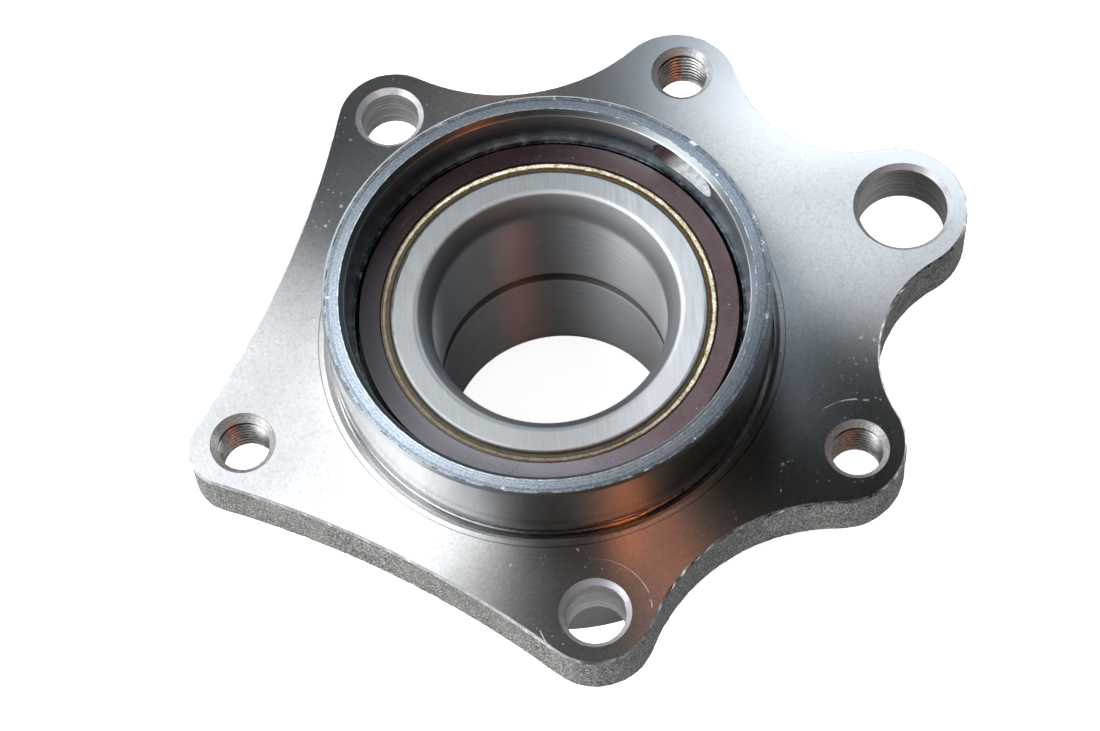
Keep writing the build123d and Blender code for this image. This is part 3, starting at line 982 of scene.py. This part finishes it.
def card(name, direction, elevation, distance, width, height, color, strength):
    """A bright card with soft edges, which only metal reflects."""
    f = Finish(name, color, 1.0, metallic=0.0)
    cover = 1.0
    for place, size in zip(f.split(), (width, height)):
        outward = f.math("ABSOLUTE", f.times(place, 2 / size))
        cover = f.times(cover, f.remap(outward, CARD_SOFT_FROM, 1.0, 1.0, 0.0))
    clear = f.add("ShaderNodeBsdfTransparent")
    blend = f.add("ShaderNodeMixShader")
    f.feed(blend.inputs[0], cover)
    f.feed(blend.inputs[1], clear.outputs[0])
    f.feed(blend.inputs[2], f.glow(color, strength))
    f.surface(blend.outputs[0])
    piece = sheet(name, width, height, 0.0, f.material)
    aim(piece, studio_place(direction, elevation, distance))
    for_metal_only(piece)


def dark_tent():
    """The dim room over the bearing that the metal reflects between the cards, paler at its left."""
    shape = bmesh.new()
    rows = []
    for level in range(TENT_UP):
        elevation = math.radians(90 * level / TENT_UP)
        height = Vector((0, 0, TENT_R * math.sin(elevation) + BARREL_END))
        reach = TENT_R * math.cos(elevation)
        rows.append([shape.verts.new(polar(reach, 360 * k / TENT_AROUND) + height)
                     for k in range(TENT_AROUND)])
    for lower, upper in zip(rows, rows[1:]):
        join_rows(shape, lower, upper)
    crown = shape.verts.new((0, 0, TENT_R + BARREL_END))
    highest = rows[-1]
    for point, following in zip(highest, highest[1:] + highest[:1]):
        shape.faces.new((point, following, crown))
    f = Finish("dark_tent", (0, 0, 0), 1.0, metallic=0.0)
    leftward = f.times(f.split()[0], -1 / TENT_R)
    f.surface(f.glow(f.mix(f.remap(leftward, 0.4, 0.95), (0.008, 0.008, 0.006), (0.5, 0.5, 0.5))))
    for_metal_only(shown("dark_tent", finished_mesh("dark_tent", shape, [f.material])))


def floor():
    """White floor under the barrel, which keeps the bearing's shadow; in the metal it is grey, with
    painted shade darkening it under and round the bearing.
    """
    f = Finish("floor", (0.8, 0.8, 0.8), 0.9, metallic=0.0)
    f.shader.inputs["Specular IOR Level"].default_value = 0.0
    path = f.add("ShaderNodeLightPath")
    mirrored = f.larger(path.outputs["Is Glossy Ray"], path.outputs["Is Transmission Ray"])
    # Painted shadow: as the metal sees it, the floor is dark near the bearing and paler further off
    under = f.remap(f.radius(), 50 * MM, 260 * MM, 1.0, 0.0)
    in_metal = f.mix(under, (0.6, 0.6, 0.6), (0.16, 0.155, 0.15))
    f.color(f.mix(mirrored, (0.8, 0.8, 0.8), in_metal))
    seen = f.times(path.outputs["Is Camera Ray"], 0.9)
    far_off = f.times(f.minus(1.0, under), 0.4)
    both = f.add("ShaderNodeAddShader")
    f.feed(both.inputs[0], f.shader.outputs[0])
    f.feed(both.inputs[1], f.glow(WHITE, f.plus(seen, f.times(mirrored, far_off))))
    f.surface(both.outputs[0])
    piece = sheet("floor", FLOOR_WIDTH, FLOOR_WIDTH, BARREL_END, f.material)


def world():
    """White surroundings as the camera and the metal see them, which light the rest only dimly."""
    sky = bpy.data.worlds.new("studio")
    bpy.context.scene.world = sky
    sky.use_nodes = True
    tree = sky.node_tree
    path = tree.nodes.new("ShaderNodeLightPath")
    seen = path.outputs["Is Camera Ray"]
    for ray in ("Is Glossy Ray", "Is Transmission Ray"):
        either = tree.nodes.new("ShaderNodeMath")
        either.operation = "MAXIMUM"
        tree.links.new(seen, either.inputs[0])
        tree.links.new(path.outputs[ray], either.inputs[1])
        seen = either.outputs[0]
    shade = tree.nodes.new("ShaderNodeMix")
    shade.data_type = "RGBA"
    shade.inputs[COLOR_A].default_value = (0.22, 0.225, 0.235, 1)
    shade.inputs[COLOR_B].default_value = (*WHITE, 1)
    tree.links.new(seen, shade.inputs["Factor"])
    back = tree.nodes["Background"]
    back.inputs["Strength"].default_value = 1.0
    tree.links.new(shade.outputs[COLOR_OUT], back.inputs["Color"])


def camera():
    """The photograph's viewpoint."""
    lens = bpy.data.cameras.new("camera")
    lens.sensor_width = SENSOR_WIDTH
    lens.lens = CAMERA_LENS
    lens.clip_start = 0.01
    obj = shown("camera", lens)
    obj.location = CAMERA_PLACE
    obj.rotation_euler = [math.radians(angle) for angle in CAMERA_TURN]
    bpy.context.scene.camera = obj


def dress():
    """Every finish and every piece that the construction leaves to this scene."""
    finishes = {finish.__name__: finish() for finish in OUTER_RING_FINISHES}
    outer_ring(finishes)
    thread = (THREAD_LEAD, THREAD_PITCH, THREAD_RIDGE, (thread_crest(), thread_root()))
    for name, hole in THREADED.items():
        helix("turns_" + name, *hole, *thread)
        thread_mouth("mouth_" + name, *hole, finishes["tapped_edge"])
    drill_marks = (DRILL_LEAD, DRILL_PITCH, DRILL_RIDGE, [finishes["drilled_wall"]] * 2)
    for name in ("plain_left", "plain_right"):
        helix("drill_marks_" + name, *PLAIN[name], *drill_marks)
    by_prefix = {
        "inner_ring": inner_ring_steel(),
        "encoder": encoder_rubber(),
        "slinger": passivated_steel(),
        "seal_case": pressed_steel(),
        "seal_lip": seal_rubber(),
        "ball": ball_steel(),
        "cage": cage_polymer(),
    }
    for name, piece in NODES.items():
        for prefix, material in by_prefix.items():
            if name.startswith(prefix):
                for slot_row in piece.material_slots:
                    slot_row.material = material


dress()
floor()
world()
camera()
dark_tent()

# Direction, degrees up and distance of each lamp, then its size and power
lamp("key_lamp", 205, 42, 0.9, 0.45, 20)
lamp("fill_lamp", 40, 38, 0.9, 0.4, 2, (0.9, 0.95, 1.0))
lamp("back_lamp", 100, 46, 0.9, 0.5, 6)

# Direction, degrees up and distance of each card, then its width, height, colour and brightness
card("window_above", 165, 68, 0.4, 0.36, 0.2, WHITE, 4.6)
card("window_high_left", 212, 62, 0.5, 0.22, 0.22, WHITE, 2.6)
card("window_back_left", 141, 45, 0.6, 0.34, 0.5, WHITE, 3.8)
card("window_left", 198, 38, 0.6, 0.42, 0.75, WHITE, 3.4)
card("window_right", 54, 40, 0.6, 0.6, 0.34, (0.78, 0.9, 1.0), 2.4)
card("back_low", 122, 14, 0.6, 0.8, 0.3, (0.85, 0.95, 1.0), 2.0)
card("ceiling_front", 325, 80, 0.5, 0.14, 0.14, (1.0, 0.95, 0.88), 1.2)
card("warm_front", 296, 55, 0.6, 0.085, 0.4, (1.0, 0.25, 0.06), 4.5)
bpy.context.scene.view_settings.view_transform = "Standard"
